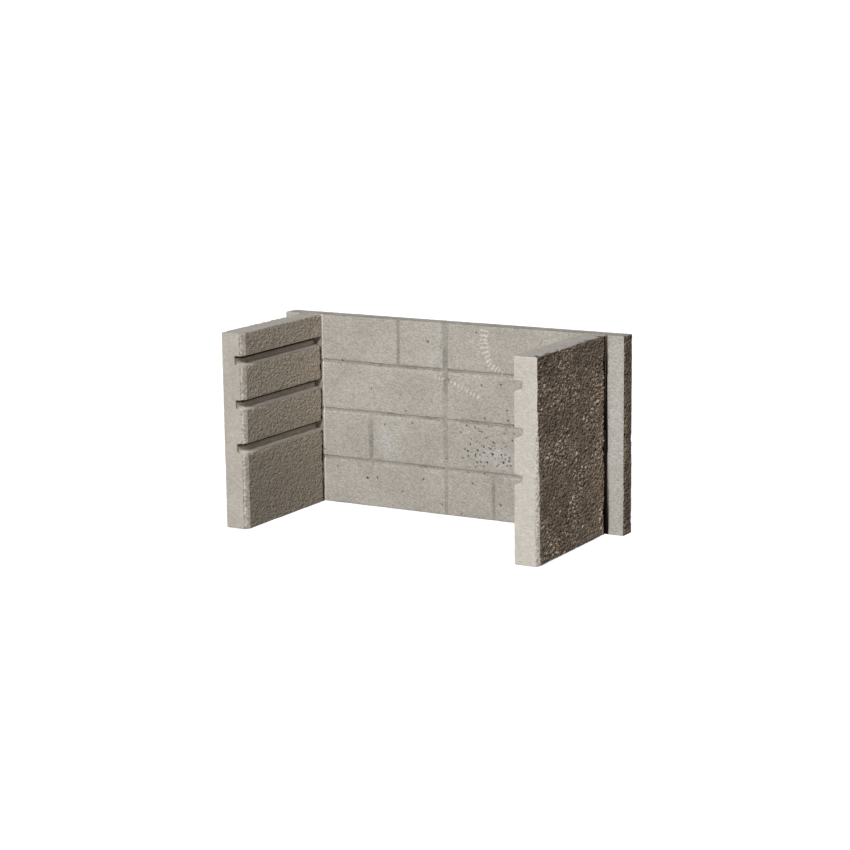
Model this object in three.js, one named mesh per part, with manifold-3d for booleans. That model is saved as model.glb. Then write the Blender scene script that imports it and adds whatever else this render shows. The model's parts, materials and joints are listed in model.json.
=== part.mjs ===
// Fire surround for a masonry barbecue or open hearth, made of three precast concrete panels: a back panel
// whose face imitates coursed stone, and two equal side panels with grooves that carry a grate at three
// heights. The panels stand on edge on the hearth slab, and the side panels butt against the back panel.
//
// Millimetres, +Z up. +X runs to the right of a person who faces the fire and +Y runs away from them.
// The origin is the centre of the footprint, on the plane that the panels stand on.

import * as THREE from "three";
import { ConvexGeometry } from "three/addons/geometries/ConvexGeometry.js";
import { mergeVertices } from "three/addons/utils/BufferGeometryUtils.js";
import Module from "manifold-3d";

const wasm = await Module();
wasm.setup();

// Driving dimensions
const HEIGHT = 400;
const CLEAR_WIDTH = 605; // between the two side panels
const SIDE_THICKNESS = 51;
const SIDE_DEPTH = 291;
const BACK_WIDTH = 785;
const BACK_THICKNESS = 37;
const BUTT_GAP = 3; // open butt joint between a side panel and the back panel

// Grate grooves of a side panel
const GROOVE_CENTRES = [165, 254, 343]; // heights above the hearth
const GROOVE_MOUTH = 21;
const GROOVE_FLOOR = 12;
const GROOVE_DEPTH = 17;
const GROOVE_FILLET = 4;

// Corners of a side panel. One upright edge of the fire side is chamfered from top to bottom, and the
// upright edge diagonally across from it is broken off along the lower part of its height.
const OVERCUT = 5; // how far a cutting tool reaches past the faces it breaks through
const CHAMFER = [
  { height: -OVERCUT, onEnd: 6, onFace: 12 },
  { height: HEIGHT + OVERCUT, onEnd: 6, onFace: 12 },
];
const BROKEN_EDGE = [
  { height: -OVERCUT, onEnd: 5, onFace: 12 },
  { height: 250, onEnd: 5, onFace: 7 },
  { height: 320, onEnd: 0, onFace: 0 },
];

// Stone pattern of the back panel
const BED_JOINTS = [96.5, 199, 301.5]; // heights of the horizontal joints
const BED_JOINT_WIDTH = 8;
const JOINT_DEPTH = 3;
const SEAM_X = -9; // upright joint where the two halves of the mould liner met
const SEAM_WIDTH_TOP = 15;
const SEAM_WIDTH_BOTTOM = 6;
const LINER_JOINTS = [
  { course: 3, fromSeam: 110, width: 7 },
  { course: 1, fromSeam: 179, width: 10 },
];

const ROUND_SEGMENTS = 16;

const FOOTPRINT_DEPTH = SIDE_DEPTH + BUTT_GAP + BACK_THICKNESS;
const SIDE_CENTRE_Y = (SIDE_DEPTH - FOOTPRINT_DEPTH) / 2;
const BACK_FACE_Y = FOOTPRINT_DEPTH / 2 - BACK_THICKNESS;

// A closed three.js geometry as a solid that can be cut.
function solidOf(geometry) {
  const bare = geometry.clone();
  bare.deleteAttribute("normal");
  bare.deleteAttribute("uv");
  const welded = mergeVertices(bare, 1e-3);
  const vertProperties = welded.attributes.position.array;
  const triVerts = new Uint32Array(welded.index.array);
  return new wasm.Manifold(new wasm.Mesh({ numProp: 3, vertProperties, triVerts }));
}

// A solid as a flat-shaded three.js geometry.
function geometryOf(solid) {
  const mesh = solid.getMesh();
  const indexed = new THREE.BufferGeometry();
  indexed.setAttribute("position", new THREE.BufferAttribute(mesh.vertProperties, mesh.numProp));
  indexed.setIndex(new THREE.BufferAttribute(mesh.triVerts, 1));
  const flat = indexed.toNonIndexed();
  flat.computeVertexNormals();
  return flat;
}

// One groove of the side panel's section, drawn upwards: a trapezoid with softened inner corners.
function drawGroove(outline, centre) {
  const flankRise = (GROOVE_MOUTH - GROOVE_FLOOR) / 2;
  const flankShare = 1 - GROOVE_FILLET / GROOVE_DEPTH;
  const flankEnd = GROOVE_MOUTH / 2 - flankRise * flankShare;
  const cornerEnd = GROOVE_FLOOR / 2 - GROOVE_FILLET;
  outline.lineTo(0, centre - GROOVE_MOUTH / 2);
  outline.lineTo(-GROOVE_DEPTH * flankShare, centre - flankEnd);
  outline.quadraticCurveTo(-GROOVE_DEPTH, centre - GROOVE_FLOOR / 2, -GROOVE_DEPTH, centre - cornerEnd);
  outline.lineTo(-GROOVE_DEPTH, centre + cornerEnd);
  outline.quadraticCurveTo(
    -GROOVE_DEPTH, centre + GROOVE_FLOOR / 2, -GROOVE_DEPTH * flankShare, centre + flankEnd,
  );
  outline.lineTo(0, centre + GROOVE_MOUTH / 2);
}

// The section of a side panel, seen from its front end: the fire side is at x = 0, the outside at -x.
function sideSection() {
  const outline = new THREE.Shape();
  outline.moveTo(-SIDE_THICKNESS, 0);
  outline.lineTo(0, 0);
  for (const centre of GROOVE_CENTRES) drawGroove(outline, centre);
  outline.lineTo(0, HEIGHT);
  outline.lineTo(-SIDE_THICKNESS, HEIGHT);
  outline.closePath();
  return outline;
}

// A cutter for the upright edge at (x, y) of a slab, whose outside lies in the directions outX and outY.
// Each ring says how much comes off the end and off the face at one height.
function edgeCutter(x, y, outX, outY, rings) {
  const corners = rings.flatMap(({ height, onEnd, onFace }) => [
    new THREE.Vector3(x + outX * OVERCUT, y + outY * OVERCUT, height),
    new THREE.Vector3(x - outX * onEnd, y + outY * OVERCUT, height),
    new THREE.Vector3(x - outX * onEnd, y, height),
    new THREE.Vector3(x, y - outY * onFace, height),
    new THREE.Vector3(x + outX * OVERCUT, y - outY * onFace, height),
  ]);
  return solidOf(new ConvexGeometry(corners));
}

// The casting that serves on both sides. Its fire side is x = 0 and it is centred on y = 0.
function sidePanelGeometry() {
  const settings = { depth: SIDE_DEPTH, bevelEnabled: false, curveSegments: ROUND_SEGMENTS / 4 };
  const slab = new THREE.ExtrudeGeometry(sideSection(), settings);
  slab.rotateX(Math.PI / 2);
  slab.translate(0, SIDE_DEPTH / 2, 0);

  const chamfer = edgeCutter(0, -SIDE_DEPTH / 2, 1, -1, CHAMFER);
  const brokenEdge = edgeCutter(-SIDE_THICKNESS, SIDE_DEPTH / 2, -1, 1, BROKEN_EDGE);
  return geometryOf(solidOf(slab).subtract(chamfer).subtract(brokenEdge));
}

// A round-bottomed channel cutter from one point of the back panel's face to another.
function channelCutter(x1, z1, x2, z2, width1, width2) {
  const length = Math.hypot(x2 - x1, z2 - z1);
  const rod = new THREE.CylinderGeometry(width2 / 2, width1 / 2, length, ROUND_SEGMENTS);
  rod.rotateX(Math.PI / 2);
  rod.scale(1, JOINT_DEPTH / (Math.max(width1, width2) / 2), 1);
  rod.rotateY(Math.atan2(x2 - x1, z2 - z1));
  return solidOf(rod.translate((x1 + x2) / 2, 0, (z1 + z2) / 2));
}

// The joints of the stone pattern. The right half of the liner is the left half turned upside down.
function patternCutters() {
  const reach = (CLEAR_WIDTH + SIDE_THICKNESS) / 2;
  const edges = [0, ...BED_JOINTS, HEIGHT];
  const lastCourse = edges.length - 2;
  const cutters = BED_JOINTS.map((z) =>
    channelCutter(-reach, z, reach, z, BED_JOINT_WIDTH, BED_JOINT_WIDTH),
  );
  cutters.push(
    channelCutter(SEAM_X, -OVERCUT, SEAM_X, HEIGHT + OVERCUT, SEAM_WIDTH_BOTTOM, SEAM_WIDTH_TOP),
  );
  for (const { course, fromSeam, width } of LINER_JOINTS) {
    for (const [x, row] of [[SEAM_X - fromSeam, course], [SEAM_X + fromSeam, lastCourse - course]]) {
      const bottom = row === 0 ? -OVERCUT : edges[row];
      const top = row === lastCourse ? HEIGHT + OVERCUT : edges[row + 1];
      cutters.push(channelCutter(x, bottom, x, top, width, width));
    }
  }
  return cutters;
}

// The back panel, with its patterned face on y = 0 and its thickness towards +y.
function backPanelGeometry() {
  const slab = new THREE.BoxGeometry(BACK_WIDTH, BACK_THICKNESS, HEIGHT);
  slab.translate(0, BACK_THICKNESS / 2, HEIGHT / 2);
  return geometryOf(
    patternCutters().reduce((panel, cutter) => panel.subtract(cutter), solidOf(slab)),
  );
}

function concrete(color, roughness) {
  return new THREE.MeshStandardMaterial({ color, roughness, metalness: 0 });
}

function named(name, geometry, material) {
  const mesh = new THREE.Mesh(geometry, material);
  mesh.name = name;
  return mesh;
}

const surround = new THREE.Group();

const backPanel = named("back_panel", backPanelGeometry(), concrete("#ada599", 0.9));
backPanel.position.set(0, BACK_FACE_Y, 0);
surround.add(backPanel);

const leftSidePanel = named("left_side_panel", sidePanelGeometry(), concrete("#b9b1a6", 0.92));
leftSidePanel.position.set(-CLEAR_WIDTH / 2, SIDE_CENTRE_Y, 0);
surround.add(leftSidePanel);

// The same casting, turned end for end to face the other way.
const rightSidePanel = named("right_side_panel", sidePanelGeometry(), concrete("#bdb5aa", 0.92));
rightSidePanel.position.set(CLEAR_WIDTH / 2, SIDE_CENTRE_Y, 0);
rightSidePanel.rotation.z = Math.PI;
surround.add(rightSidePanel);

export default surround;
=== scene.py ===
"""Looks for a fire surround of three upright precast concrete slabs.

Each slab is a fine lattice laid over the shape of its CAD node, with real relief in its faces: the stone
pattern, the grate grooves, worn arrises, gravelly open faces and blowholes. All relief goes inwards, so
every slab stays inside the box of its CAD node. Lengths are in metres, in the row frame.

Most masks come from `rise` and `fade`, and the two numbers in a call of `rise` say where a mask starts and
where it is full. A number added to a seed only makes another pattern.
"""

import json
import math
from typing import NamedTuple

import bmesh
import bpy
import numpy as np
from mathutils import Matrix, Vector
from mathutils.kdtree import KDTree


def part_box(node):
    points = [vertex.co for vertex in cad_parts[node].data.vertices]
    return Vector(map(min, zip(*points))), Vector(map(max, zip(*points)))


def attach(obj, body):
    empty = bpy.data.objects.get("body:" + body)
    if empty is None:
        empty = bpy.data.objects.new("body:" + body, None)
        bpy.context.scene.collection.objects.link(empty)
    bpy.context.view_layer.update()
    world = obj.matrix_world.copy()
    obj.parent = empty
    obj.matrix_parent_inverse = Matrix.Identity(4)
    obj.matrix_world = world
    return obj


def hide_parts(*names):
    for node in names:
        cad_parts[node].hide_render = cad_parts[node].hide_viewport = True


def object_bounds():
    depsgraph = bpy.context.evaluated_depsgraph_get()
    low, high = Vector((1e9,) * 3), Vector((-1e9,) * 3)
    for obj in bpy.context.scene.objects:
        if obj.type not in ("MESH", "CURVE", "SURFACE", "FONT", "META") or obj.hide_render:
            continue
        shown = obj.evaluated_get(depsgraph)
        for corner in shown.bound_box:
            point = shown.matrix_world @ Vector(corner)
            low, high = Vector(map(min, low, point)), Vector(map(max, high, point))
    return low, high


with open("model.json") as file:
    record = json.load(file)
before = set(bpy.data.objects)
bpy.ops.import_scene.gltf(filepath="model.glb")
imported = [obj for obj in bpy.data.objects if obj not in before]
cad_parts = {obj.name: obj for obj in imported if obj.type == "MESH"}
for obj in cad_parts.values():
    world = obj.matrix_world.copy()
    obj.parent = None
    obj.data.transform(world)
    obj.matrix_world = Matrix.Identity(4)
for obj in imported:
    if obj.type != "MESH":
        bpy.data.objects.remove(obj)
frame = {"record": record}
cad_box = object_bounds()

MM = 0.001


class Layer(NamedTuple):
    """One layer of relief: how deep it goes, and how far apart its features are."""
    depth: float
    spacing: float


# Grate grooves of a side slab
GROOVE_MOUTH = 21 * MM
GROOVE_FLOOR = 12 * MM
GROOVE_DEPTH = 17 * MM
GROOVE_FILLET = 4 * MM
FILLET_POINTS = 5
GROOVE_LEVELS = sorted(
    sum(corner[2] for corner in opening["box_m"]) / 2
    for opening in frame["record"]["physics"]["openings"]
    if opening["name"].startswith("grate_level")
)

# Upright edges of a side slab: how much is gone from its end and from its face
CHAMFER_ON_END = 7.5 * MM
CHAMFER_ON_FACE = 12 * MM
BROKEN_HEIGHTS = [0, 250 * MM, 320 * MM]
BROKEN_ON_END = [5 * MM, 5 * MM, 0]
BROKEN_ON_FACE = [12 * MM, 7 * MM, 0]
SLIVER = 0.01 * MM  # stands in for a width of nothing

# Stone pattern of the back slab
BED_JOINTS = [96.5 * MM, 199 * MM, 301.5 * MM]
BED_WIDTH = 8 * MM
BED_REACH = 328 * MM  # how far the bed joints run from the middle of the slab
JOINT_DEPTH = 2.1 * MM
SHOULDER_DEPTH = 0.7 * MM  # the stones also fall away a little towards a joint
SHOULDER_REACH = 2.6  # in half widths of the joint
JOINT_WANDER = Layer(1.8 * MM, 24 * MM)
JOINT_LIP_SPACING = 4.5 * MM
JOINT_PATCH_SPACING = 45 * MM
SEAM_X = -9 * MM
SEAM_WIDTH_BOTTOM = 6 * MM
SEAM_WIDTH_TOP = 15 * MM
# Upright joints on the left of the seam: course, distance from the seam, width. Half a turn about the
# seam's middle gives the ones on its right.
UPRIGHT_JOINTS = [(3, 110 * MM, 7 * MM), (1, 179 * MM, 10 * MM)]

# Marks on the face of the back slab, as places (x, z) on it
BLOWHOLE_CENTRE = (92 * MM, 142 * MM)
BLOWHOLE_SPREAD = (62 * MM, 40 * MM)
BLOWHOLE_KINDS = [(14 * MM, 0.19), (8 * MM, 0.2)]  # spacing, and the usual radius as a share of it
SCATTERED_HOLES = 0.004  # share of the possible holes that are there, anywhere on the face
CROWDED_HOLES = 0.6  # and how much more in the middle of the crowded patch
HOLE_DEPTH = 1.8 * MM
SINGLE_HOLES = [
    (75 * MM, 278 * MM), (120 * MM, 283 * MM), (133 * MM, 231 * MM), (136 * MM, 210 * MM),
    (64 * MM, 385 * MM), (-88 * MM, 186 * MM), (-63 * MM, 70 * MM), (-19 * MM, 22 * MM),
    (53 * MM, 73 * MM), (-154 * MM, 178 * MM),
]
SINGLE_HOLE_WIDTH = 4.4 * MM
PALE_PATCHES = [  # centre, half width and half height, strength
    ((-375 * MM, 200 * MM), (26 * MM, 400 * MM), 0.8),
    ((375 * MM, 200 * MM), (26 * MM, 400 * MM), 0.8),
    ((-152 * MM, 148 * MM), (30 * MM, 52 * MM), 0.9),
    ((112 * MM, 134 * MM), (52 * MM, 30 * MM), 0.8),
    ((-33 * MM, 328 * MM), (22 * MM, 30 * MM), 0.5),
    ((-245 * MM, 382 * MM), (26 * MM, 16 * MM), 0.4),
]
PATCH_FRAYING = 16 * MM
SCUFFS = [  # strings of short scrapes: start, bend and end, then their reach and strength at both ends
    ((84 * MM, 394 * MM), (72 * MM, 326 * MM), (124 * MM, 306 * MM), (18 * MM, 8 * MM), (1.0, 1.0)),
    ((-34 * MM, 288 * MM), (24 * MM, 280 * MM), (74 * MM, 248 * MM), (8 * MM, 9 * MM), (0.4, 0.95)),
]
SCUFF_EXTENT = 130 * MM  # no scrape is further than this from the middle of its scuff
SCRAPE_PITCH = 8.5 * MM
SCRAPE_JITTER = Layer(7 * MM, 15 * MM)
SCRAPE_FAINTNESS_SPACING = 11 * MM
SCRAPE_DEPTH = 0.35 * MM
# How far the painted shade in the gaps beside the side slabs reaches, at the foot and at the top
GAP_SHADE_REACH_FOOT = 6.5 * MM
GAP_SHADE_REACH_TOP = 2.5 * MM

# Relief of each kind of face
SKIN_SWELL = Layer(0.4 * MM, 70 * MM)
SKIN_TOOTH = Layer(0.25 * MM, 4.5 * MM)
FIRE_SWELL = Layer(0.6 * MM, 45 * MM)
FIRE_SAND = Layer(1.3 * MM, 5.5 * MM)
FIRE_PITS = Layer(1.2 * MM, 13 * MM)
FIRE_PIT_REACH = 0.35  # as a share of their spacing
FIRE_PIT_SHARE = 0.4
OPEN_SWELL = Layer(0.8 * MM, 38 * MM)
OPEN_STONES = Layer(3.4 * MM, 6.8 * MM)
OPEN_STONE_REACH = 0.8  # as a share of their spacing
OPEN_SAND = Layer(1.3 * MM, 3.6 * MM)
CALM_SPACING = 55 * MM  # between the places where the mortar nearly covers the stones
CALM_RELIEF = 0.45  # share of the relief that is left there
CUT_RELIEF = Layer(0.5 * MM, 4.5 * MM)
CUT_PITS = Layer(0.3 * MM, 3.4 * MM)
SIDE_TOP_RELIEF = Layer(0.9 * MM, 12 * MM)
BACK_TOP_RELIEF = Layer(0.8 * MM, 12 * MM)
BACK_END_CALM = 0.75  # share of the open relief that the back slab's ends do without
BACK_END_WAVES = Layer(5 * MM, 55 * MM)
BACK_END_WAVE_REACH = 9 * MM

# Wear beside the arrises
ARRIS_REACH = 3 * MM
ARRIS_EASING = 0.5
WORN_LEAST = 0.3 * MM
WORN_BAND = Layer(0.6 * MM, 14 * MM)
TEETH = Layer(3.5 * MM, 7 * MM)
CHIPS = Layer(4.5 * MM, 16 * MM)
CHIP_REACH_LEAST = 2 * MM
CHIP_REACH_GROWTH = 1.5  # how much further a chip reaches for each unit of its depth
POCK_SPACING = 4.2 * MM
POCK_REACH = 2.6 * MM

# Painted shade in the grooves and by the back slab, and the edges between finishes on a side slab
LIP_SHADE_HAZE = 0.35  # painted shade under the upper lip of a groove, beside the painted black line along the lip
LIP_SHADE_HAZE_START = 26 * MM  # how far behind the groove's front end the haze is full
END_SHADE_WIDTH = 1.5 * MM
END_SHADE_STRENGTH = 0.7
REAR_SHADE_ON_FIRE_SIDE = 7 * MM
REAR_SHADE_ON_OPEN_SIDE = 2.5 * MM
REAR_SHADE_SPACING = 7 * MM
SPILL_SPACING = 9 * MM
BROKEN_FRAYING = Layer(1.5 * MM, 5 * MM)
TOP_BAND = 9 * MM

# Painted highlight and shade on the relief of the open faces
LIGHT_STEP = np.array([0.3, -1.0, 1.3]) * MM  # towards where the painted light comes from
LIGHT_DROPS = (0.25 * MM, 1.1 * MM)  # a face's drop over that step where painted highlight and shade start and where they are full

# Mesh
SIDE_CELL = 2.9 * MM  # halved on the open face and along the arrises
SIDE_FINE_BAND = 3 * MM
BACK_CELL = 3.1 * MM  # halved along the joints and arrises, then halved twice at each mark
BACK_FINE_BAND = 4 * MM
BACK_FINE_JOINT = 1.7  # in half widths of the joint
ARRIS_ANGLE = math.radians(35)
SHARP_ANGLE = math.radians(24)

# Hash behind the noise
HASH_PRIMES = (73856093, 19349663, 83492791)
HASH_SEED_STEP = 2654435761
HASH_ROUNDS = ((16, 2246822507), (13, 3266489909), (16, 668265263))
ALL_BITS = 0xFFFFFFFF


# ---------------------------------------------------------------- noise

def cell_random(cells, seed):
    """A repeatable random number from 0 to 1 for each whole-number cell, given as (n, 3)."""
    mixed = np.full(len(cells), (seed * HASH_SEED_STEP) & ALL_BITS, np.uint32)
    for axis, prime in enumerate(HASH_PRIMES):
        mixed ^= cells[:, axis].astype(np.int64).astype(np.uint32) * np.uint32(prime)
    for shift, factor in HASH_ROUNDS:
        mixed = (mixed ^ (mixed >> np.uint32(shift))) * np.uint32(factor)
    return (mixed >> np.uint32(8)) / float(1 << 24)


def noise(points, size, seed):
    """Smooth random values from 0 to 1 whose features are about `size` across."""
    scaled = points / size
    corner = np.floor(scaled)
    blend = scaled - corner
    blend = blend * blend * (3 - 2 * blend)
    total = np.zeros(len(points))
    for step in np.ndindex(2, 2, 2):
        weight = np.prod(np.where(step, blend, 1 - blend), axis=1)
        total += weight * cell_random(corner + step, seed)
    return total


def fractal(points, size, seed, octaves=3):
    """Layers of noise, each half as wide and half as strong as the last, from 0 to 1."""
    strengths = [0.5 ** octave for octave in range(octaves)]
    layers = [s * noise(points, size * s, seed + n) for n, s in enumerate(strengths)]
    return sum(layers) / sum(strengths)


def grains(points, size, seed, spread=(1, 1, 1)):
    """The distance to the nearest of many scattered grains, in units of `size`, and its random number.

    A spread of 0 along an axis puts all grains in the plane that is square to it.
    """
    scaled = points / size * spread
    corner = np.floor(scaled)
    nearest = np.full(len(points), np.inf)
    owner = np.zeros(len(points))
    for step in np.ndindex(3, 3, 3):
        cell = corner + np.array(step) - 1
        jitter = np.stack([cell_random(cell, seed + axis) for axis in range(3)], axis=1)
        apart = np.linalg.norm(scaled - cell - jitter * spread, axis=1)
        closer = apart < nearest
        nearest[closer] = apart[closer]
        owner[closer] = cell_random(cell[closer], seed + 3)
    return nearest, owner


def fade(distance, reach):
    """1 at no distance, falling smoothly to 0 at `reach`."""
    share = np.clip(1 - distance / reach, 0, 1)
    return share * share * (3 - 2 * share)


def rise(value, low, high):
    """0 below `low`, rising smoothly to 1 at `high`."""
    share = np.clip((value - low) / (high - low), 0, 1)
    return share * share * (3 - 2 * share)


# ---------------------------------------------------------------- meshes

def divided(corners, spacing):
    """The corners of a path, (n, k), with even steps of about `spacing` between them."""
    path = [corners[0]]
    for start, end in zip(corners, corners[1:]):
        steps = max(1, round(np.linalg.norm(end - start) / spacing))
        path += [start + (end - start) * step / steps for step in range(1, steps + 1)]
    return np.array(path)


def lattice_shell(cells):
    """The outside of a block of cells: each point's place in the lattice, (n, 3), and the faces, (m, 4)."""
    number = np.full([count + 1 for count in cells], -1)
    outside = np.ones(number.shape, bool)
    outside[1:-1, 1:-1, 1:-1] = False
    number[outside] = np.arange(outside.sum())
    faces = []
    for axis in range(3):
        for end in (0, -1):
            sheet = number.take(end, axis=axis)
            corners = np.stack([sheet[:-1, :-1], sheet[1:, :-1], sheet[1:, 1:], sheet[:-1, 1:]], axis=-1)
            faces_inwards = (end == 0) != (axis == 1)
            faces.append(np.flip(corners, -1) if faces_inwards else corners)
    return np.argwhere(outside), np.concatenate([sheet.reshape(-1, 4) for sheet in faces])


def bmesh_of(points, faces):
    mesh = bpy.data.meshes.new("blank")
    mesh.from_pydata(points.tolist(), [], faces.tolist())
    shape = bmesh.new()
    shape.from_mesh(mesh)
    bpy.data.meshes.remove(mesh)
    shape.normal_update()
    return shape


def distances(points, targets):
    """How far each point is from the nearest target."""
    tree = KDTree(len(targets))
    for number, target in enumerate(targets):
        tree.insert(target, number)
    tree.balance()
    return np.array([tree.find(point)[2] for point in points])


def arris_points(shape):
    """Points on the sharp outward edges of a bmesh."""
    arrises = [edge for edge in shape.edges if edge.is_convex and edge.calc_face_angle(0) > ARRIS_ANGLE]
    return [vertex.co for edge in arrises for vertex in edge.verts]


def refine(shape, wanted):
    """Halves the faces whose middles are wanted, as judged by a function of points (n, 3)."""
    middles = np.array([face.calc_center_median() for face in shape.faces])
    chosen = [face for face, want in zip(shape.faces, wanted(middles)) if want]
    edges = list(dict.fromkeys(edge for face in chosen for edge in face.edges))
    bmesh.ops.subdivide_edges(shape, edges=edges, cuts=1, use_grid_fill=True)
    shape.normal_update()


def read_points(mesh):
    """The mesh's points and its normals at them, each as (n, 3)."""
    points = np.zeros(len(mesh.vertices) * 3, np.float32)
    normals = np.zeros(len(mesh.vertices) * 3, np.float32)
    mesh.vertices.foreach_get("co", points)
    mesh.vertices.foreach_get("normal", normals)
    return points.reshape(-1, 3).astype(float), normals.reshape(-1, 3).astype(float)


def eased(mesh, points, strength):
    """The points with sharp edges eased, by moving each towards the middle of its neighbours."""
    ends = np.zeros(len(mesh.edges) * 2, np.int32)
    mesh.edges.foreach_get("vertices", ends)
    ends = np.concatenate([ends.reshape(-1, 2), ends.reshape(-1, 2)[:, ::-1]])
    count = np.bincount(ends[:, 0], minlength=len(points))
    sums = [np.bincount(ends[:, 0], points[ends[:, 1], axis], len(points)) for axis in range(3)]
    middle = np.stack(sums, axis=1) / count[:, None]
    return points + (middle - points) * strength[:, None]


def finished_piece(name, shape, node, material, relief):
    """Carves the relief into a slab, makes it an object under the root body, and hides its CAD node.

    relief(points, normals, arris_distance) returns the depth to carve at each point, and named masks from
    0 to 1 that the material reads.
    """
    mesh = bpy.data.meshes.new(name)
    to_arris = distances([vertex.co for vertex in shape.verts], arris_points(shape))
    shape.to_mesh(mesh)
    shape.free()
    points, normals = read_points(mesh)
    depth, masks = relief(points, normals, to_arris)
    points = eased(mesh, points, ARRIS_EASING * fade(to_arris, ARRIS_REACH))
    points -= normals * depth[:, None]
    low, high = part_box(node)
    mesh.vertices.foreach_set("co", np.clip(points, low, high).astype(np.float32).ravel())
    for mask, values in masks.items():
        layer = mesh.attributes.new(mask, "FLOAT", "POINT")
        layer.data.foreach_set("value", values.astype(np.float32))
    mesh.shade_smooth()
    mesh.set_sharp_from_angle(angle=SHARP_ANGLE)
    mesh.materials.append(material)
    piece = bpy.data.objects.new(name, mesh)
    bpy.context.scene.collection.objects.link(piece)
    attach(piece, "root")
    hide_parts(node)


# ---------------------------------------------------------------- relief

def carved(layer, points, seed, octaves=1):
    """How deep one layer of relief goes at each point."""
    return layer.depth * fractal(points, layer.spacing, seed, octaves)


def skin_relief(points, seed):
    """A face that set against the mould: flat, with faint swells and a fine tooth."""
    return carved(SKIN_SWELL, points, seed, 3) + carved(SKIN_TOOTH, points, seed + 11)


def fire_relief(points, seed):
    """The fire side of a side slab: sandy, with shallow pits."""
    apart, owner = grains(points, FIRE_PITS.spacing, seed + 31)
    pits = FIRE_PITS.depth * fade(apart, FIRE_PIT_REACH) * (owner > 1 - FIRE_PIT_SHARE)
    return carved(FIRE_SWELL, points, seed, 3) + carved(FIRE_SAND, points, seed + 21) + pits


def open_relief(points, seed):
    """A face that was left open in the mould: gravel in mortar, deeper in some places than in others."""
    exposed = rise(fractal(points, CALM_SPACING, seed + 43, 2), 0.35, 0.62)
    apart, owner = grains(points, OPEN_STONES.spacing, seed + 41)
    dome = (1 - (apart / OPEN_STONE_REACH) ** 2).clip(0, 1)
    stones = OPEN_STONES.depth * (1 - dome * (0.5 + 0.5 * owner))
    gravel = stones + carved(OPEN_SAND, points, seed + 51)
    return carved(OPEN_SWELL, points, seed, 3) + (CALM_RELIEF + (1 - CALM_RELIEF) * exposed) * gravel


def lit_and_shaded_sides(points, seed):
    """Painted highlight on an open face, on what looks up towards the light, and painted shade on what
    looks down.
    """
    ahead = open_relief(points + LIGHT_STEP, seed) - open_relief(points, seed)
    return rise(ahead, *LIGHT_DROPS), rise(-ahead, *LIGHT_DROPS)


def arris_wear(to_arris, points, seed, chipping, ragged):
    """Wear beside an arris: a thin worn band, a chip now and then, and teeth where its face is ragged."""
    band = WORN_LEAST + carved(WORN_BAND, points, seed)
    teeth = TEETH.depth * ragged * rise(noise(points, TEETH.spacing, seed + 3), 0.4, 0.65)
    chip = CHIPS.depth * chipping * rise(fractal(points, CHIPS.spacing, seed + 7, 2), 0.62, 0.9)
    chip_reach = CHIP_REACH_LEAST + CHIP_REACH_GROWTH * chip
    return (band + teeth) * fade(to_arris, ARRIS_REACH) + chip * fade(to_arris, chip_reach)


# ---------------------------------------------------------------- side slabs

def groove_outline():
    """One groove about its own middle, from its lower lip to its upper lip: pairs of depth and height."""
    lip = np.array([0, GROOVE_MOUTH / 2])
    corner = np.array([GROOVE_DEPTH, GROOVE_FLOOR / 2])
    flank_end = lip + (corner - lip) * (1 - GROOVE_FILLET / GROOVE_DEPTH)
    floor_end = corner - (0, GROOVE_FILLET)
    shares = np.linspace(0, 1, FILLET_POINTS)[:, None]
    curve = flank_end * (1 - shares) ** 2 + corner * 2 * shares * (1 - shares) + floor_end * shares ** 2
    upper_half = np.concatenate([[lip], curve])
    return np.concatenate([upper_half * (1, -1), upper_half[::-1]])


def fire_side_section(height):
    """The fire side's outline from foot to top: pairs of depth and height."""
    grooves = [groove_outline() + (0, level) for level in GROOVE_LEVELS]
    return divided(np.concatenate([[(0, 0)], *grooves, [(0, height)]]), SIDE_CELL)


def side_casting(thickness, length, height):
    """The side slab out of the mould: the fire side at x = 0, the body towards -x, centred on y = 0."""
    section = fire_side_section(height)
    ends = [[-length / 2], [CHAMFER_ON_FACE - length / 2], [length / 2 - BROKEN_ON_FACE[0]], [length / 2]]
    stations = divided(np.array(ends), SIDE_CELL)[:, 0]
    across = np.linspace(0, 1, round(thickness / SIDE_CELL) + 1)
    places, faces = lattice_shell([len(across) - 1, len(stations) - 1, len(section) - 1])

    share = across[places[:, 0]]
    y = stations[places[:, 1]]
    depth, z_inside = section[places[:, 2]].T
    z = share * z_inside + (1 - share) * np.linspace(0, height, len(section))[places[:, 2]]
    to_front = y + length / 2
    to_rear = length / 2 - y
    chamfer = CHAMFER_ON_END * np.clip(1 - to_front / CHAMFER_ON_FACE, 0, 1)
    broken_face = np.maximum(np.interp(z, BROKEN_HEIGHTS, BROKEN_ON_FACE), SLIVER)
    broken = np.interp(z, BROKEN_HEIGHTS, BROKEN_ON_END) * np.clip(1 - to_rear / broken_face, 0, 1)
    fire_x = -np.maximum(depth, chamfer)
    open_x = broken - thickness
    return bmesh_of(np.stack([open_x + (fire_x - open_x) * share, y, z], axis=1), faces)


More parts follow.
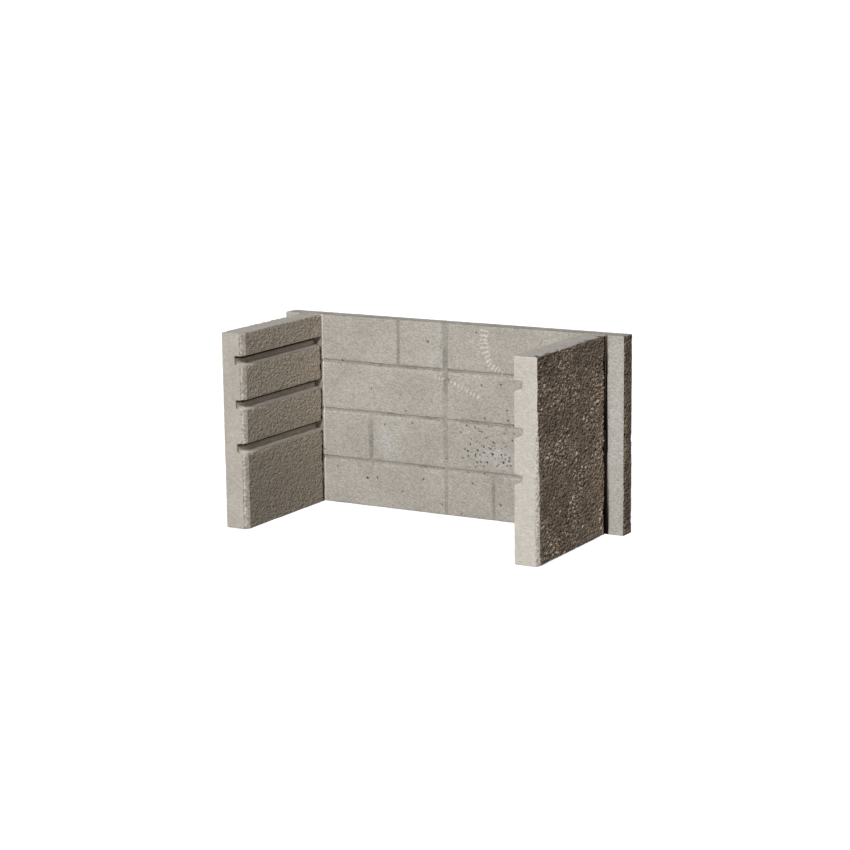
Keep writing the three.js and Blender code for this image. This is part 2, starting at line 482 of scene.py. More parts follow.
def groove_shade(local, length):
    """Painted shade in the grooves, from 0 to 1: a line and a haze under the upper lip, and a line round
    the end.
    """
    x, y, z = local.T
    inside = rise(-x, 2 * MM, 6 * MM) * rise(x, -GROOVE_DEPTH - 5 * MM, -GROOVE_DEPTH - MM)
    to_front = y + length / 2
    near_front = fade(to_front, LIP_SHADE_HAZE_START)
    total = np.zeros(len(local))
    for level in GROOVE_LEVELS:
        place = (z - level) / (GROOVE_MOUTH / 2)
        lining = inside * (abs(place) < 1)
        haze = LIP_SHADE_HAZE * (1 - near_front) * rise(place, -0.5, 0.25)
        lip_line = rise(place - 0.3 * near_front, 0.15, 0.4)
        end_line = END_SHADE_STRENGTH * fade(to_front, END_SHADE_WIDTH) * rise(place, -0.8, -0.5)
        total = np.maximum(total, lining * np.max([haze, lip_line, end_line], axis=0))
    return total


def rear_gap_shade(local, to_rear, fire, open_side, seed):
    """Painted shade along a side slab's rear arrises, in the gap where it stands against the back slab,
    from 0 to 1.
    """
    uneven = 0.6 + 0.8 * noise(local, REAR_SHADE_SPACING, seed)
    below_top_land = rise(GROOVE_LEVELS[-1] - local[:, 2], 0, 4 * MM)
    at_fire_side = fire * below_top_land * rise(REAR_SHADE_ON_FIRE_SIDE * uneven - to_rear, 0, 3 * MM)
    at_open_side = open_side * rise(REAR_SHADE_ON_OPEN_SIDE * uneven - to_rear, 0, MM)
    return np.maximum(at_fire_side, at_open_side)


def side_masks(local, normals, thickness, length, height, spill, seed):
    """Which kind of surface each point of the casting is on.

    The open side's gravel spills onto the top as far as `spill`.
    """
    x, y, z = local.T
    fire_side = rise(normals[:, 0], 0.5, 0.8) * rise(x, -14 * MM, -9 * MM)
    fire = fire_side * rise(y + length / 2, CHAMFER_ON_FACE - MM, CHAMFER_ON_FACE + MM)
    frayed = BROKEN_FRAYING.depth * (noise(local, BROKEN_FRAYING.spacing, seed + 3) - 0.3)
    broken_width = np.interp(z, BROKEN_HEIGHTS, BROKEN_ON_FACE) + frayed
    broken = rise(broken_width - (length / 2 - y), 0, 1.5 * MM) * rise(-normals[:, 0], 0.3, 0.6)
    spill_reach = spill * rise(noise(local, SPILL_SPACING, seed), 0.38, 0.72)
    spilled = rise(spill_reach - (x + thickness), 0, 1.5 * MM) * rise(normals[:, 2], 0.3, 0.6)
    rough = np.maximum(rise(-normals[:, 0], 0.4, 0.75), spilled) * (1 - broken)
    top = rise(normals[:, 2], 0.6, 0.9) * rise(z, height - TOP_BAND, height - 3 * MM) * (1 - rough)
    inside_groove = rise(-x, 3 * MM, 7 * MM) * rise(x, -GROOVE_DEPTH - 4 * MM, -GROOVE_DEPTH - 2 * MM)
    off_ends = rise(length / 2 - abs(y), 0, MM)
    off_foot_and_top = rise(height - TOP_BAND - z, 0, MM) * rise(z, 4 * MM, 5 * MM)
    return {
        "fire": fire,
        "cut": np.maximum(fire_side - fire, broken),
        "rough": rough,
        "top": top,
        # where light is painted inside the grooves
        "lining": inside_groove * off_ends * off_foot_and_top,
        "spilled": spilled * rise(x + thickness, 0, 2 * MM),
    }


def pocks(local, thickness, length, seed):
    """Small pocks on the arrises where chamfer and broken edge meet the slab's ends, from 0 to 1; only
    their shade is painted, they are not carved.
    """
    x, y, z = local.T
    chamfer_arris = np.hypot(x + CHAMFER_ON_END, y + length / 2)
    broken_arris = np.hypot(x + thickness - BROKEN_ON_END[0], y - length / 2)
    beside_broken = fade(broken_arris, ARRIS_REACH) * rise(BROKEN_HEIGHTS[1] - z, 0, 60 * MM)
    holes = rise(noise(local, POCK_SPACING, seed), 0.4, 0.62)
    return holes * np.maximum(0.75 * fade(chamfer_arris, POCK_REACH), 0.3 * beside_broken)


def side_slab(name, node, material, turned, groove_shading, spill, seed):
    low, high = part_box(node)
    size = high - low
    shape = side_casting(size.x, size.y, size.z)
    fire_side_x = low.x if turned else high.x
    placing = Matrix.Translation((fire_side_x, (low.y + high.y) / 2, low.z))
    if turned:
        placing = placing @ Matrix.Rotation(math.pi, 4, "Z")
    unplacing = np.array(placing.inverted())

    arrises = arris_points(shape)

    def wants_detail(middles):
        return (middles[:, 0] < MM - size.x) | (distances(middles, arrises) < SIDE_FINE_BAND)

    refine(shape, wants_detail)
    shape.transform(placing)
    shape.normal_update()

    def relief(points, normals, to_arris):
        local = points @ unplacing[:3, :3].T + unplacing[:3, 3]
        masks = side_masks(local, normals @ unplacing[:3, :3].T, *size, spill, seed + 51)
        open_side = rise(4 * MM - size.x - local[:, 0], 0, MM)
        rear_shade = rear_gap_shade(local, high.y - points[:, 1], masks["fire"], open_side, seed + 56)
        # painted shade in the grooves and along the rear arrises beside the back slab
        masks["crevice_shade"] = np.maximum(groove_shading * groove_shade(local, size.y), rear_shade)
        faces = (
            (masks["fire"], fire_relief(points, seed)),
            (masks["rough"], open_relief(points, seed)),
            (masks["cut"], carved(CUT_RELIEF, points, seed + 61, 2)),
            (masks["top"], carved(SIDE_TOP_RELIEF, points, seed + 71, 3)),
        )
        plain = np.clip(1 - sum(mask for mask, _ in faces), 0, 1)
        depth = plain * skin_relief(points, seed) + sum(mask * deep for mask, deep in faces)
        wear = arris_wear(to_arris, points, seed + 81, 0.3 + 0.5 * masks["rough"], masks["rough"])
        pocked = pocks(local, size.x, size.y, seed + 91)
        # Painted highlight on the sides of the open relief that face the light, and painted shade on those
        # that face away
        masks["painted_highlight"], underside_shade = (masks["rough"] * layer for layer in lit_and_shaded_sides(points, seed))
        pitted = masks["cut"] * rise(noise(local, CUT_PITS.spacing, seed + 95), 0.58, 0.72)
        recess_shade = 0.6 * masks["fire"] * rise(depth, MM, 2.6 * MM)
        spilled = masks.pop("spilled")
        # Painted shade: on what faces away from the light, in the pocks, in the chamfer's pits and in the
        # deeper places of the fire side; the spilled gravel on the top is darker too
        masks["shade_and_spill"] = np.max([underside_shade, pocked, 0.4 * pitted, recess_shade, 0.9 * spilled], axis=0)
        return depth + wear + CUT_PITS.depth * pitted, masks

    finished_piece(name, shape, node, material, relief)


# ---------------------------------------------------------------- back slab

def stone_joints(height):
    """Every joint of the pattern: its two end points on the face and its width at each."""
    joints = [((-BED_REACH, z), (BED_REACH, z), BED_WIDTH, BED_WIDTH) for z in BED_JOINTS]
    joints.append(((SEAM_X, 0), (SEAM_X, height), SEAM_WIDTH_BOTTOM, SEAM_WIDTH_TOP))
    edges = [0, *BED_JOINTS, height]
    last = len(edges) - 2
    for course, from_seam, width in UPRIGHT_JOINTS:
        for x, row in ((SEAM_X - from_seam, course), (SEAM_X + from_seam, last - course)):
            joints.append(((x, edges[row]), (x, edges[row + 1]), width, width))
    return joints


def joint_share(points, joint, wander):
    """Distance to a joint's middle line as a share of its half width, 1 at its lips."""
    start, end, start_width, end_width = joint
    place = points[:, [0, 2]] + wander[:, None]
    start = np.array(start)
    along = np.array(end) - start
    share = np.clip((place - start) @ along / (along @ along), 0, 1)
    apart = np.linalg.norm(place - start - share[:, None] * along, axis=1)
    return apart / ((start_width + (end_width - start_width) * share) / 2)


def stone_relief(points, height, seed):
    """Depth of the stone pattern's joints, and how far each point is into one, from 0 to 1."""
    wander = JOINT_WANDER.depth * (fractal(points, JOINT_WANDER.spacing, seed) - 0.5)
    nearest = np.min([joint_share(points, joint, wander) for joint in stone_joints(height)], axis=0)
    lips = 0.5 * (noise(points, JOINT_LIP_SPACING, seed + 3) - 0.5)
    uneven = 0.6 + 0.6 * noise(points, JOINT_PATCH_SPACING, seed + 5)
    trough = rise(1.1 + lips - nearest, 0, 0.45) * uneven
    return JOINT_DEPTH * trough + SHOULDER_DEPTH * fade(nearest, SHOULDER_REACH), trough


def blowhole_density(points):
    """Share of the possible blowholes that are there: many in one patch, and few elsewhere."""
    x = (points[:, 0] - BLOWHOLE_CENTRE[0]) / BLOWHOLE_SPREAD[0]
    z = (points[:, 2] - BLOWHOLE_CENTRE[1]) / BLOWHOLE_SPREAD[1]
    return SCATTERED_HOLES + CROWDED_HOLES * np.exp(-(x ** 2 + z ** 2))


def blowholes(points, seed):
    """How far each point is into a blowhole, from 0 to 1."""
    density = blowhole_density(points)
    total = np.zeros(len(points))
    for spacing, usual_radius in BLOWHOLE_KINDS:
        apart, owner = grains(points, spacing, seed + round(spacing / MM), spread=(1, 0, 1))
        radius = usual_radius * (0.7 + 0.6 * owner / density)
        total = np.maximum(total, rise(1 - apart / radius, 0, 0.6) * (owner < density))
    for hole in SINGLE_HOLES:
        apart = np.linalg.norm(points[:, [0, 2]] - hole, axis=1)
        total = np.maximum(total, rise(1 - 2 * apart / SINGLE_HOLE_WIDTH, 0, 0.6))
    return total


def patches(points, seed):
    """Pale patches where the mould's oil or lime shows, from 0 to 1."""
    frayed = 0.7 + 0.6 * fractal(points, PATCH_FRAYING, seed)
    total = np.zeros(len(points))
    for centre, half_size, strength in PALE_PATCHES:
        offset = (points[:, [0, 2]] - centre) / half_size
        total = np.maximum(total, strength * fade(np.linalg.norm(offset, axis=1) * frayed, 1.2))
    return total


def scuff_path(start, bend, end):
    """Points about 1 mm apart along a curve from its start, towards its bend, to its end."""
    start, bend, end = (np.array(point) for point in (start, bend, end))
    shares = np.linspace(0, 1, round(np.linalg.norm(end - start) / MM))[:, None]
    return start * (1 - shares) ** 2 + bend * 2 * shares * (1 - shares) + end * shares ** 2


def scrapes(points, seed):
    """How far each point is into one of the short scrapes of the scuffs, from 0 to 1."""
    total = np.zeros(len(points))
    for *corners, end_reaches, end_strengths in SCUFFS:
        path = scuff_path(*corners)
        upright = np.insert(path, 1, 0, axis=1)
        run = np.concatenate([[0], np.cumsum(np.linalg.norm(np.diff(path, axis=0), axis=1))])
        run += carved(SCRAPE_JITTER, upright, seed)
        reach = np.linspace(*end_reaches, len(path))
        strength = np.linspace(*end_strengths, len(path))
        strength *= 0.6 + 0.8 * noise(upright, SCRAPE_FAINTNESS_SPACING, seed + 1)
        from_middle = np.linalg.norm(points[:, [0, 2]] - path[len(path) // 2], axis=1)
        for number in np.flatnonzero(from_middle < SCUFF_EXTENT):
            offsets = np.linalg.norm(path - points[number, [0, 2]], axis=1)
            nearest = np.argmin(offsets)
            if offsets[nearest] < reach[nearest] and 0 < nearest < len(path) - 1:
                phase = math.cos(2 * math.pi * run[nearest] / SCRAPE_PITCH)
                tick = phase * strength[nearest] * (1 - offsets[nearest] / reach[nearest])
                total[number] = max(total[number], rise(tick, 0.15, 0.55))
    return total


def butt_gap_shade(points):
    """Painted shade in the gaps where the side slabs' open sides meet the back slab, from 0 to 1."""
    left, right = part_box("left_side_panel"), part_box("right_side_panel")
    apart = np.minimum(abs(points[:, 0] - left[0].x), abs(points[:, 0] - right[1].x))
    reach = np.interp(points[:, 2], [left[0].z, left[1].z], [GAP_SHADE_REACH_FOOT, GAP_SHADE_REACH_TOP])
    return rise(reach - apart, 0, 1.5 * MM)


def back_slab(name, node, material, seed):
    low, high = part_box(node)
    size = high - low
    spans = [divided(np.array([[start], [end]]), BACK_CELL)[:, 0] for start, end in zip(low, high)]
    places, faces = lattice_shell([len(span) - 1 for span in spans])
    shape = bmesh_of(np.stack([span[places[:, axis]] for axis, span in enumerate(spans)], axis=1), faces)

    arrises = arris_points(shape)

    # The face is seen through the open ends of the left slab's grooves, and gets the same painted light
    # there as they do
    left_groove_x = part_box("left_side_panel")[1].x - GROOVE_DEPTH / 2

    def on_face(points):
        return points[:, 1] < low.y + MM

    def near_joint(points):
        no_wander = np.zeros(len(points))
        shares = [joint_share(points, joint, no_wander) for joint in stone_joints(size.z)]
        at_gap_shade_edge = abs(butt_gap_shade(points) - 0.5) < 0.5
        return on_face(points) & ((np.min(shares, axis=0) < BACK_FINE_JOINT) | at_gap_shade_edge)

    def near_mark(points):
        marked = np.zeros(len(points), bool)
        chosen = np.flatnonzero(on_face(points))
        marked[chosen] = (blowholes(points[chosen], seed) > 0) | (scrapes(points[chosen], seed) > 0)
        return marked

    refine(shape, lambda middles: near_joint(middles) | (distances(middles, arrises) < BACK_FINE_BAND))
    refine(shape, near_mark)
    refine(shape, near_mark)

    def relief(points, normals, to_arris):
        to_face = points[:, 1] - low.y
        face = rise(-normals[:, 1], 0.5, 0.9)
        rough = rise(np.maximum(normals[:, 1], abs(normals[:, 0])), 0.5, 0.9)
        top = rise(abs(normals[:, 2]), 0.5, 0.9)
        end = rise(abs(normals[:, 0]), 0.3, 0.6)
        joint_depth, joint = stone_relief(points, size.z, seed + 1)
        hole = blowholes(points, seed) * face
        scrape = scrapes(points, seed) * face
        depth = face * (skin_relief(points, seed) + joint_depth)
        depth += rough * (1 - BACK_END_CALM * end) * open_relief(points, seed)
        depth += top * carved(BACK_TOP_RELIEF, points, seed + 71, 3)
        depth += HOLE_DEPTH * hole + SCRAPE_DEPTH * scrape
        waves = rise(fractal(points, BACK_END_WAVES.spacing, seed + 91, 2), 0.35, 0.75)
        depth += BACK_END_WAVES.depth * waves * end * fade(to_face, BACK_END_WAVE_REACH)
        depth += arris_wear(to_arris, points, seed + 81, 0.4, 0.5 * rough * fade(to_face, 20 * MM))
        masks = {
            "rough": rough,
            "top": top,
            "lining": face * (abs(points[:, 0] - left_groove_x) < GROOVE_DEPTH / 2 + 2 * MM),
            "joint": joint * face,
            "hole": hole,
            "scrape": scrape,
            "pale": patches(points, seed + 7) * face,
            # painted shade in the gaps beside the side slabs
            "crevice_shade": butt_gap_shade(points) * face,
        }
        # Painted highlight on what faces the light and painted shade on what faces away, less on the ends,
        # which are also made a little darker
        relief_light_share = rough * (1 - 0.7 * end)
        masks["painted_highlight"], underside_shade = (relief_light_share * layer for layer in lit_and_shaded_sides(points, seed))
        masks["shade_and_spill"] = np.maximum(underside_shade, 0.25 * end)
        return depth, masks

    finished_piece(name, shape, node, material, relief)


# ---------------------------------------------------------------- materials

SPECULAR = 0.25
ROUGHNESS = (0.82, 0.96)
ROUGHNESS_PATCHES = 20 * MM

# What is painted: the size of its features, and its least and greatest brightness
LUMP_SHAPE = (1, 1.6, 1)  # the painted light and shade of each bump is longer from front to rear
CLOUD_SIZE = 75 * MM
STAINS = (9 * MM, (0.95, 1.04))
# Painted light and shade on small bumps, on the fire side and on the open faces
FIRE_LUMP_SHADING = (5 * MM, (0.52, 1.58))
OPEN_LUMP_SHADING = (5.5 * MM, (0.12, 2.05))
OPEN_CLODS = (24 * MM, (0.82, 1.15))
CUT_SPECKLE = (4 * MM, (0.8, 1.25))
# Painted light and shade on small grains, on every face
GRIT_SIZE = 4 * MM
PINHOLE_SPACING = 6.5 * MM
# Pinholes are darkened: painted shade in them
PINHOLE_BRIGHTNESS = 0.55
# Grains of painted highlight on the open faces
HIGHLIGHT_GRAIN_SIZE = 2.6 * MM
HIGHLIGHT_BRIGHTNESS = 2.3
HIGHLIGHT_COVER = 0.6
PALE_COVER = 0.5
CRACK_SIZE = 9 * MM
CRACK_BRIGHTNESS = 0.75

# How a face's brightness changes with height: two heights, and the brightness below and above them
FIRE_GRADE = (40 * MM, 380 * MM, 0.87, 1.2)
OPEN_GRADE = (220 * MM, 400 * MM, 1.0, 0.82)
BACK_GRADE = (0, 300 * MM, 0.92, 1.0)

# Fine relief that is too small for the mesh
STONE_BUMP = Layer(2.0 * MM, 3.6 * MM)
FINE_BUMP = Layer(0.9 * MM, 1.6 * MM)
MEDIUM_BUMP = Layer(1.2 * MM, 6 * MM)
PINHOLE_DEPTH = 0.5 * MM


def tone(red, green, blue):
    return (red, green, blue, 1.0)


FIRE_TONE = tone(0.53, 0.465, 0.385)
OPEN_TONE = tone(0.40, 0.31, 0.235)
PALE_TONE = tone(0.66, 0.66, 0.64)
# Tone of the painted highlight on the open faces
HIGHLIGHT_TONE = tone(0.66, 0.57, 0.46)
# Tone of the painted shade in the grooves and in the gaps between the slabs
CREVICE_SHADE_TONE = tone(0.42, 0.33, 0.25)
MASK_BRIGHTNESS = {  # how bright the concrete is where each mask is 1
    "lining": 1.55,  # painted light inside the grooves, which lie in shade, and on the back slab seen through them
    "shade_and_spill": 0.25,  # painted shade in pits, pocks and recesses and on the undersides of the relief; spilled gravel and the back slab's ends darker
    "joint": 0.79,
    # painted shade in the blowholes
    "hole": 0.12,
    "scrape": 1.5,
    # painted shade in the grooves and in the gaps between the slabs, nearly black
    "crevice_shade": 0.02,
}
SIDE_MASKS = ("fire", "cut", "top", "lining", "shade_and_spill", "crevice_shade")
BACK_MASKS = ("pale", "top", "lining", "shade_and_spill", "joint", "hole", "scrape", "crevice_shade")


class Recipe:
    """Builds the nodes of one material. Textures are laid out in the row frame, with sizes in metres."""

    def __init__(self, name):
        self.material = bpy.data.materials.new(name)
        self.material.use_nodes = True
        self.tree = self.material.node_tree
        self.tree.nodes.clear()
        self.place = self.node("ShaderNodeTexCoord").outputs["Object"]
        shaped = {0: self.place, 1: LUMP_SHAPE}
        self.lump_place = self.node("ShaderNodeVectorMath", shaped, operation="DIVIDE").outputs[0]

    def node(self, kind, inputs=None, **settings):
        made = self.tree.nodes.new(kind)
        for setting, value in settings.items():
            setattr(made, setting, value)
        for socket, value in (inputs or {}).items():
            if isinstance(value, bpy.types.NodeSocket):
                self.tree.links.new(value, made.inputs[socket])
            else:
                made.inputs[socket].default_value = value
        return made

    def mask(self, name):
        return self.node("ShaderNodeAttribute", attribute_name=name).outputs["Fac"]

    def noise(self, size, detail=2.0, roughness=0.5, distortion=0.0, place=None):
        inputs = {"Vector": place or self.place, "Scale": 1 / size, "Detail": detail}
        inputs |= {"Roughness": roughness, "Distortion": distortion}
        return self.node("ShaderNodeTexNoise", inputs).outputs["Fac"]

    def emboss(self, size, detail, roughness, distortion):
        """Painted light and shade: how much small bumps face the light, from about -0.15 to 0.15."""
        step = {0: self.lump_place, 1: tuple(LIGHT_STEP)}
        ahead = self.node("ShaderNodeVectorMath", step, operation="ADD").outputs[0]
        places = (self.lump_place, ahead)
        here, there = (self.noise(size, detail, roughness, distortion, place) for place in places)
        return self.math("SUBTRACT", here, there)

    def cells(self, size):
        """The distance to the nearest cell's middle in units of `size`, and the cell's random colour."""
        made = self.node("ShaderNodeTexVoronoi", {"Vector": self.place, "Scale": 1 / size})
        return made.outputs["Distance"], made.outputs["Color"]

    def math(self, operation, first, second=0.0):
        return self.node("ShaderNodeMath", {0: first, 1: second}, operation=operation).outputs[0]

    def ramp(self, value, low, high, at_low=0.0, at_high=1.0):
        """`at_low` where the value is below `low`, changing smoothly to `at_high` at `high`."""
        inputs = {"Value": value, "From Min": low, "From Max": high, "To Min": at_low, "To Max": at_high}
        return self.node("ShaderNodeMapRange", inputs, interpolation_type="SMOOTHSTEP").outputs["Result"]

    def graded(self, low, high, at_low, at_high):
        """`at_low` below one height, changing smoothly to `at_high` at the other."""
        height = self.node("ShaderNodeSeparateXYZ", {"Vector": self.place}).outputs["Z"]
        return self.ramp(height, low, high, at_low, at_high)

    def mix(self, share, first, second):
        """The first colour where the share is 0 and the second where it is 1."""
        inputs = {"Factor": share, 6: first, 7: second}  # 6, 7 and output 2 are the sockets for colours
        return self.node("ShaderNodeMix", inputs, data_type="RGBA").outputs[2]

    def times(self, brightness, factor, share=1.0):
        """The brightness times a factor where the share is 1, and unchanged where it is 0."""
        inputs = {"Factor": share, 2: 1.0, 3: factor}  # 2, 3 and output 0 are the sockets for numbers
        applied = self.node("ShaderNodeMix", inputs, data_type="FLOAT").outputs[0]
        return self.math("MULTIPLY", brightness, applied)

    def scaled(self, colour, brightness):
        """The colour made brighter or darker by a number from the nodes."""
        inputs = {0: colour, "Scale": brightness}
        return self.node("ShaderNodeVectorMath", inputs, operation="SCALE").outputs[0]

    def finish(self, colour, roughness, height, specular=SPECULAR):
        """Ends the material. The height of its fine relief is in metres."""
        bump = self.node("ShaderNodeBump", {"Height": height, "Distance": 1.0, "Strength": 1.0})
        inputs = {"Base Color": colour, "Roughness": roughness, "Normal": bump.outputs["Normal"]}
        surface = self.node("ShaderNodeBsdfPrincipled", {**inputs, "Specular IOR Level": specular})
        output = self.node("ShaderNodeOutputMaterial")
        self.tree.links.new(surface.outputs["BSDF"], output.inputs["Surface"])
        return self.material


def mottled(recipe, grit_shading):
    """The brightness of the cement, with stains, pinholes darkened by painted shade, and painted light and
    shade on small grains between two brightnesses.
    """
    size, between = STAINS
    brightness = recipe.ramp(recipe.noise(size, 5.0, 0.62), 0.3, 0.7, *between)
    painted_grit_light = recipe.emboss(GRIT_SIZE, 3.0, 0.7, 0.4)
    brightness = recipe.times(brightness, recipe.ramp(painted_grit_light, -0.15, 0.15, *grit_shading))
    distance, random = recipe.cells(PINHOLE_SPACING)
    pick = recipe.node("ShaderNodeSeparateColor", {"Color": random}).outputs["Green"]
    pinhole = recipe.math("MULTIPLY", recipe.ramp(pick, 0.6, 0.62), recipe.ramp(distance, 0.07, 0.13, 1, 0))
    # painted shade in the pinholes
    return recipe.times(brightness, PINHOLE_BRIGHTNESS, pinhole), pinhole


def sandy(recipe, brightness):
    """The fire side of a side slab: painted light and shade on fine wormy bumps, and a little darker
    towards the foot.
    """
    fire = recipe.mask("fire")
    size, between = FIRE_LUMP_SHADING
    lump_shading = recipe.ramp(recipe.emboss(size, 3.0, 0.6, 0.8), -0.12, 0.12, *between)
    brightness = recipe.times(brightness, lump_shading, fire)
    return recipe.times(brightness, recipe.graded(*FIRE_GRADE), fire)


def gravelly(recipe, brightness):
    """An open face: painted light and shade on small bumps, larger clods, grains of painted highlight on
    what faces the light, and darker towards the top.
    """
    rough = recipe.mask("rough")
    size, between = OPEN_LUMP_SHADING
    lump_shading = recipe.ramp(recipe.emboss(size, 3.0, 0.65, 0.6), -0.12, 0.12, *between)
    brightness = recipe.times(brightness, lump_shading, rough)
    size, between = OPEN_CLODS
    clods = recipe.ramp(recipe.noise(size, 3.0, 0.55), 0.35, 0.65, *between)
    brightness = recipe.times(brightness, clods, rough)
    brightness = recipe.times(brightness, recipe.graded(*OPEN_GRADE), rough)
    # grains of painted highlight where the open relief faces the light
    grain = recipe.ramp(recipe.noise(HIGHLIGHT_GRAIN_SIZE, 2.0, 0.6), 0.45, 0.62, 0.25, 1)
    highlighted = recipe.math("MULTIPLY", recipe.mask("painted_highlight"), grain)
    return recipe.times(brightness, HIGHLIGHT_BRIGHTNESS, highlighted)


def cracked(recipe, brightness):
    """The stone pattern: a little darker towards the foot, and darker still along the joints' floors."""
    brightness = recipe.math("MULTIPLY", brightness, recipe.graded(*BACK_GRADE))
    floor = recipe.ramp(recipe.mask("joint"), 0.8, 1.0)
    crack = recipe.math("MULTIPLY", floor, recipe.ramp(recipe.noise(CRACK_SIZE, 3.0), 0.4, 0.6))
    return recipe.times(brightness, CRACK_BRIGHTNESS, crack)


def fine_relief(recipe, pinhole):
    """Height of the bumps that are too small for the mesh."""
    distance, _ = recipe.cells(STONE_BUMP.spacing)
    stones = recipe.ramp(distance, 0, 0.8, STONE_BUMP.depth, 0)
    stones = recipe.math("MULTIPLY", stones, recipe.mask("rough"))
    fine = recipe.math("MULTIPLY", recipe.noise(FINE_BUMP.spacing, 3.0, 0.65), FINE_BUMP.depth)
    medium = recipe.math("MULTIPLY", recipe.noise(MEDIUM_BUMP.spacing, 3.0, 0.6), MEDIUM_BUMP.depth)
    height = recipe.math("ADD", stones, recipe.math("ADD", fine, medium))
    return recipe.math("SUBTRACT", height, recipe.math("MULTIPLY", pinhole, PINHOLE_DEPTH))


def concrete(name, masks, skin, shade, top, cut, grit_shading):
    """Precast concrete.

    `skin` and `shade` are the tones of its moulded face, the last argument the range of brightness of the
    painted light and shade on its small grains, and `top` and `cut` the brightness of its top and of its
    chamfer and broken edge.
    """
    recipe = Recipe(name)
    clouds = recipe.ramp(recipe.noise(CLOUD_SIZE, 4.0, 0.55), 0.35, 0.68)
    colour = recipe.mix(clouds, shade, skin)
    if "fire" in masks:
        colour = recipe.mix(recipe.mask("fire"), colour, FIRE_TONE)
    if "pale" in masks:
        colour = recipe.mix(recipe.math("MULTIPLY", recipe.mask("pale"), PALE_COVER), colour, PALE_TONE)
    colour = recipe.mix(recipe.mask("rough"), colour, OPEN_TONE)
    # painted highlight on the open faces
    colour = recipe.mix(recipe.math("MULTIPLY", recipe.mask("painted_highlight"), HIGHLIGHT_COVER), colour, HIGHLIGHT_TONE)
    # painted shade in the grooves and in the gaps between the slabs
    colour = recipe.mix(recipe.mask("crevice_shade"), colour, CREVICE_SHADE_TONE)

    brightness, pinhole = mottled(recipe, grit_shading)
    if "fire" in masks:
        brightness = sandy(recipe, brightness)
    brightness = gravelly(recipe, brightness)
    if "cut" in masks:
        size, between = CUT_SPECKLE
        speckle = recipe.ramp(recipe.noise(size, 3.0, 0.7), 0.36, 0.64, *between)
        brightness = recipe.times(brightness, speckle, recipe.mask("cut"))
    strengths = {**MASK_BRIGHTNESS, "top": top, "cut": cut}
    for mask in masks:
        if mask in strengths:
            brightness = recipe.times(brightness, strengths[mask], recipe.mask(mask))
    if "joint" in masks:
        brightness = cracked(recipe, brightness)

    colour = recipe.scaled(colour, brightness)
    roughness = recipe.ramp(recipe.noise(ROUGHNESS_PATCHES), 0.3, 0.7, *ROUGHNESS)
    # less shine where shade is painted
    in_painted_shade = recipe.math("MAXIMUM", recipe.mask("crevice_shade"), recipe.mask("shade_and_spill"))
    specular = recipe.ramp(in_painted_shade, 0, 1, SPECULAR, 0)
    return recipe.finish(colour, roughness, fine_relief(recipe, pinhole), specular)


# ---------------------------------------------------------------- studio

SUNS = [  # azimuth, elevation, strength, softness
    (0.4, 30, 2.0, 1.2),
    (24, 34, 1.0, 6),
    (-140, 10, 1.4, 20),
]
FILL_STRENGTH = 0.1
FILL_TONE = tone(1, 0.985, 0.96)
WHITE = tone(1, 1, 1)
FLOOR_REACH = 150
FLOOR_TONES = (tone(0.24, 0.24, 0.24), tone(0.26, 0.26, 0.26))
FLOOR_CLOUDS = 0.5
FLOOR_ROUGHNESS = 0.9
FLOOR_GRAIN = Layer(0.02 * MM, 2 * MM)
FLOOR_GLOW = 0.94  # makes the floor pale to the camera without lighting the slabs from below

# The photograph's camera, from a fit to the corners and edges of the slabs
CAMERA_AZIMUTH = 29.949
CAMERA_ELEVATION = 11.114
CAMERA_ROLL = -0.693
CAMERA_DISTANCE = 4.587
CAMERA_AIM = (14.9 * MM, 12.5 * MM)  # the view's middle, to the right of the object's and above it
CAMERA_LENS = 97.48


def facing(azimuth, elevation):
    """Rotation of something that looks at the object from this azimuth and elevation."""
    around = Matrix.Rotation(math.radians(azimuth), 4, "Z")
    down = Matrix.Rotation(math.radians(90 - elevation), 4, "X")
    return around @ down


def floor_paint():
    recipe = Recipe("floor_paint")
    paint = recipe.mix(recipe.noise(FLOOR_CLOUDS), *FLOOR_TONES)
    grain = recipe.math("MULTIPLY", recipe.noise(FLOOR_GRAIN.spacing), FLOOR_GRAIN.depth)
    material = recipe.finish(paint, FLOOR_ROUGHNESS, grain)
    surface = next(node for node in recipe.tree.nodes if node.type == "BSDF_PRINCIPLED")
    surface.inputs["Emission Color"].default_value = WHITE
    seen = recipe.node("ShaderNodeLightPath").outputs["Is Camera Ray"]
    recipe.tree.links.new(recipe.math("MULTIPLY", seen, FLOOR_GLOW), surface.inputs["Emission Strength"])
    return material


def add_floor(height):
    shape = bmesh.new()
    bmesh.ops.create_grid(shape, x_segments=1, y_segments=1, size=FLOOR_REACH)
    mesh = bpy.data.meshes.new("floor")
    shape.to_mesh(mesh)
    shape.free()
    mesh.materials.append(floor_paint())
    floor = bpy.data.objects.new("floor", mesh)
    floor.location.z = height
    bpy.context.scene.collection.objects.link(floor)


def add_suns():
    for azimuth, elevation, strength, softness in SUNS:
        sun = bpy.data.lights.new("sun", "SUN")
        sun.energy = strength
        sun.angle = math.radians(softness)
        lamp = bpy.data.objects.new("sun", sun)
        lamp.matrix_world = facing(azimuth, elevation)
        bpy.context.scene.collection.objects.link(lamp)


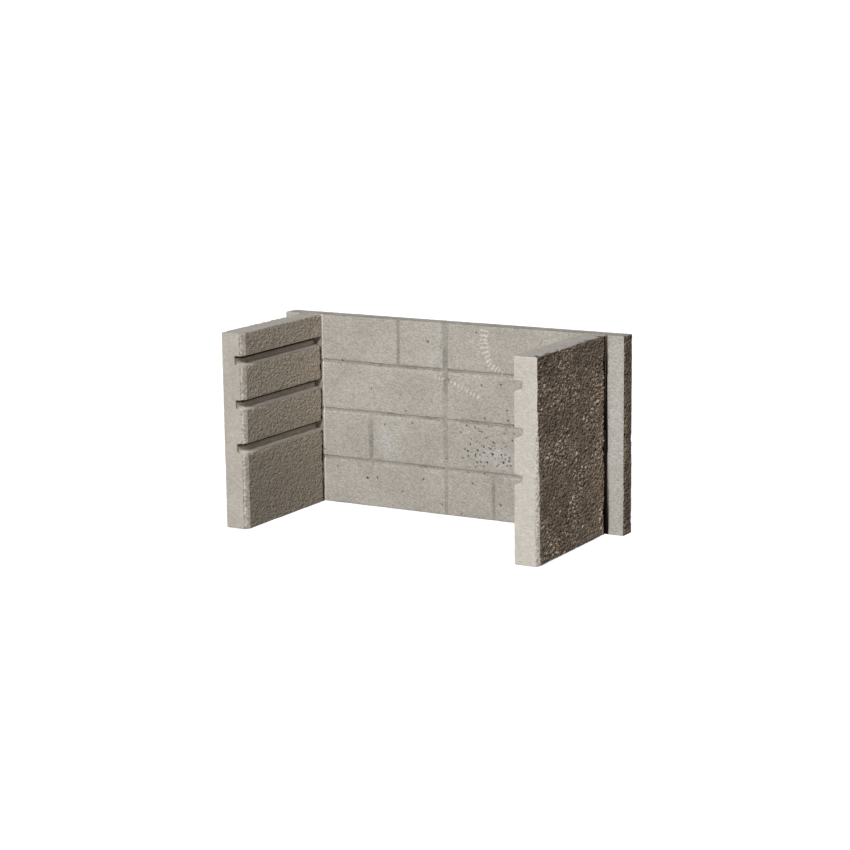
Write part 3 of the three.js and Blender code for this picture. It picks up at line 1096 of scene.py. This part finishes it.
def add_world():
    """A weak fill light from all round, behind a backdrop that only the camera sees as white."""
    world = bpy.data.worlds.new("studio")
    world.use_nodes = True
    tree = world.node_tree
    tree.nodes.clear()
    seen = tree.nodes.new("ShaderNodeLightPath").outputs["Is Camera Ray"]
    fill, backdrop = (tree.nodes.new("ShaderNodeBackground") for _ in range(2))
    fill.inputs["Strength"].default_value = FILL_STRENGTH
    fill.inputs["Color"].default_value = FILL_TONE
    backdrop.inputs["Color"].default_value = WHITE
    either = tree.nodes.new("ShaderNodeMixShader")
    output = tree.nodes.new("ShaderNodeOutputWorld")
    tree.links.new(seen, either.inputs["Fac"])
    tree.links.new(fill.outputs[0], either.inputs[1])
    tree.links.new(backdrop.outputs[0], either.inputs[2])
    tree.links.new(either.outputs[0], output.inputs["Surface"])
    bpy.context.scene.world = world


def add_camera(centre):
    """The photograph's view."""
    lens = bpy.data.cameras.new("camera")
    lens.lens = CAMERA_LENS
    lens.clip_end = 4 * FLOOR_REACH
    camera = bpy.data.objects.new("camera", lens)
    bpy.context.scene.collection.objects.link(camera)
    level = facing(CAMERA_AZIMUTH, CAMERA_ELEVATION)
    offset = level @ Vector((*CAMERA_AIM, CAMERA_DISTANCE))
    roll = Matrix.Rotation(math.radians(CAMERA_ROLL), 4, "Z")
    camera.matrix_world = Matrix.Translation(centre + offset) @ level @ roll
    bpy.context.scene.camera = camera


# ---------------------------------------------------------------- scene

left_concrete = concrete(
    "left_concrete", SIDE_MASKS, skin=tone(0.555, 0.51, 0.455), shade=tone(0.50, 0.455, 0.40),
    top=0.95, cut=1.0, grit_shading=(0.88, 1.12),
)
right_concrete = concrete(
    "right_concrete", SIDE_MASKS, skin=tone(0.70, 0.655, 0.595), shade=tone(0.65, 0.605, 0.54),
    top=0.74, cut=1.16, grit_shading=(0.9, 1.1),
)
back_concrete = concrete(
    "back_concrete", BACK_MASKS, skin=tone(0.51, 0.475, 0.42), shade=tone(0.46, 0.425, 0.375),
    top=0.82, cut=1.0, grit_shading=(0.8, 1.2),
)

side_slab(
    "left_side_slab", "left_side_panel", left_concrete,
    turned=False, groove_shading=1, spill=5 * MM, seed=100,
)
side_slab(
    "right_side_slab", "right_side_panel", right_concrete,
    turned=True, groove_shading=0.2, spill=14 * MM, seed=200,
)
back_slab("back_slab", "back_panel", back_concrete, seed=300)

add_floor(cad_box[0].z)
add_suns()
add_world()
add_camera((cad_box[0] + cad_box[1]) / 2)
bpy.context.scene.view_settings.view_transform = "Standard"
